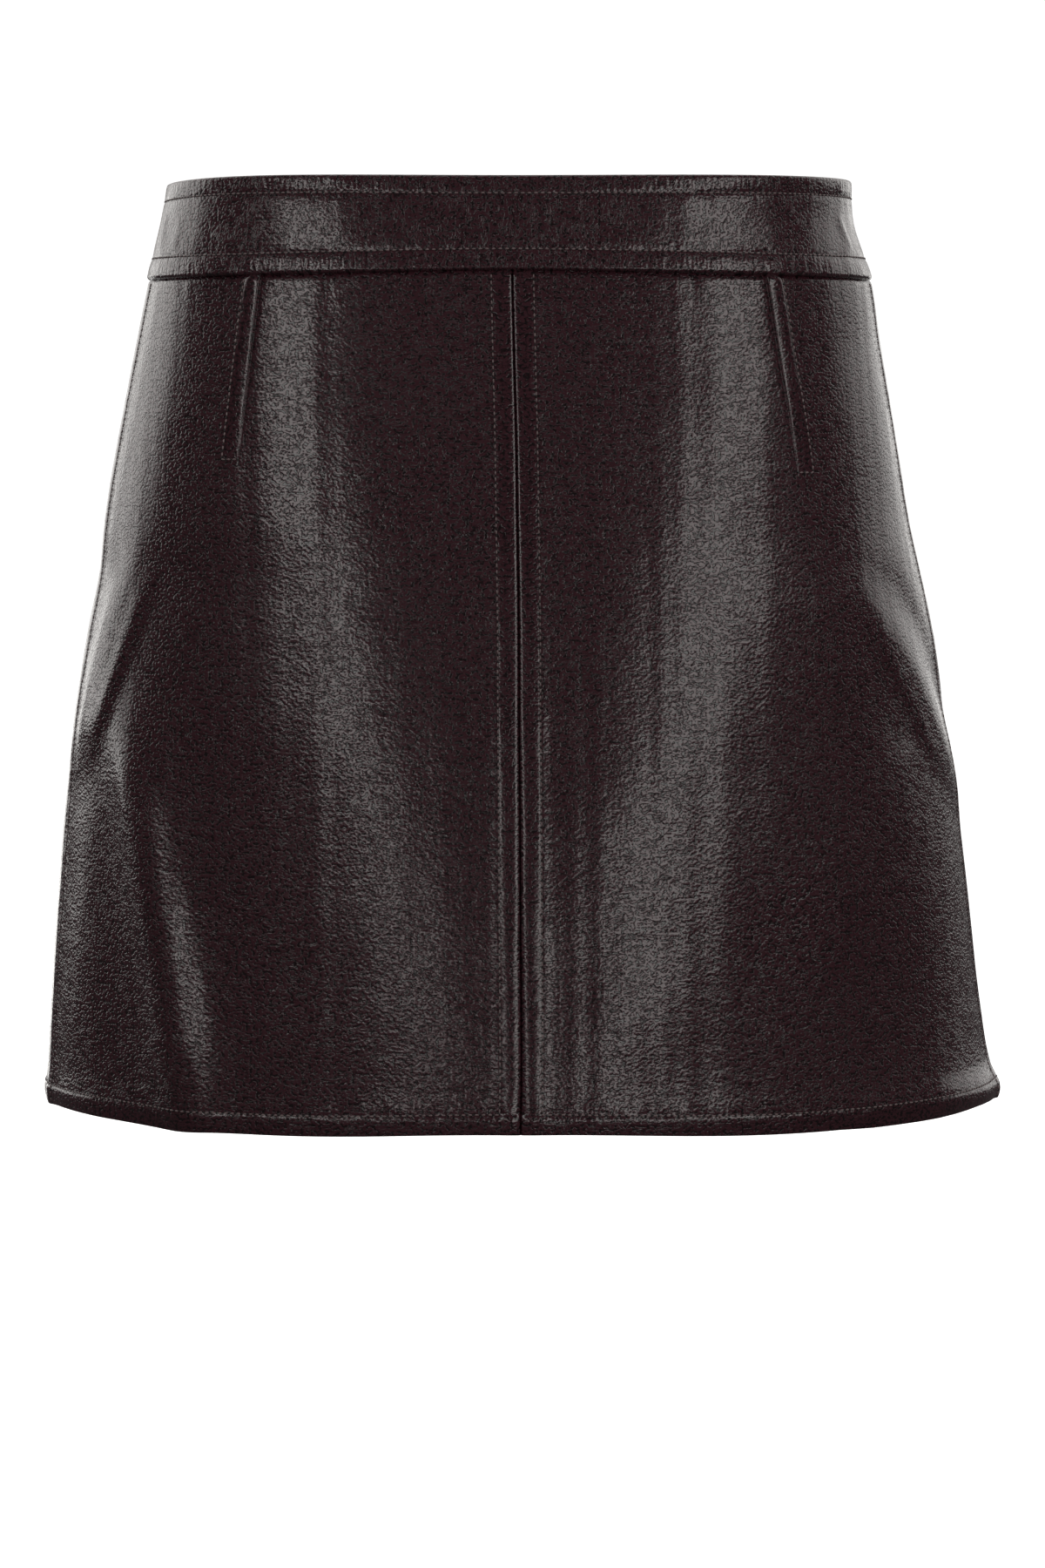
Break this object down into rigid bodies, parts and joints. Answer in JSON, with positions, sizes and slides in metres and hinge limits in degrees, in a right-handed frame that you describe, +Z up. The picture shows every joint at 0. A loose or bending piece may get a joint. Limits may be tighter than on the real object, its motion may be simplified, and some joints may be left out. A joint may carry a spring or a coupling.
{
  "type": "vinyl mini skirt",
  "caption": "Short A-line skirt of glossy crinkled vinyl as worn: hollow tube with a waistband, front darts, topstitched seams and a back zip whose pull tab swings.",
  "frame": {"origin": "centre of the waistband at half its height, where a waist holds the skirt", "axes": "+Z up through the waist, the front of the skirt faces -Y, +X to the viewer's right"},
  "size_m": [0.3754, 0.2459, 0.3637],
  "materials": {
    "vinyl": "glossy, finely crinkled knit-backed vinyl, near-black brown",
    "zip_tape": "woven tape, near-black brown",
    "zip_nylon": "nylon coil, near-black brown",
    "zip_metal": "dark lacquered zinc"
  },
  "bodies": {
    "skirt": {"waistband_front": "vinyl", "waistband_back_left": "vinyl", "waistband_back_right": "vinyl", "front_panel_left": "vinyl", "front_panel_right": "vinyl", "back_panel_left": "vinyl", "back_panel_right": "vinyl", "zip_tape_left": "zip_tape", "zip_tape_right": "zip_tape", "zip_chain": "zip_nylon", "zip_slider": "zip_metal"},
    "pull": {"zip_pull": "zip_metal"}
  },
  "joints": [
    {"name": "zip_pull_swing", "type": "hinge", "parent": "skirt", "child": "pull", "pos_m": [-0.00124, 0.09326, 0.01259], "axis": [1, 0, 0], "range_deg": [0, 160]}
  ]
}
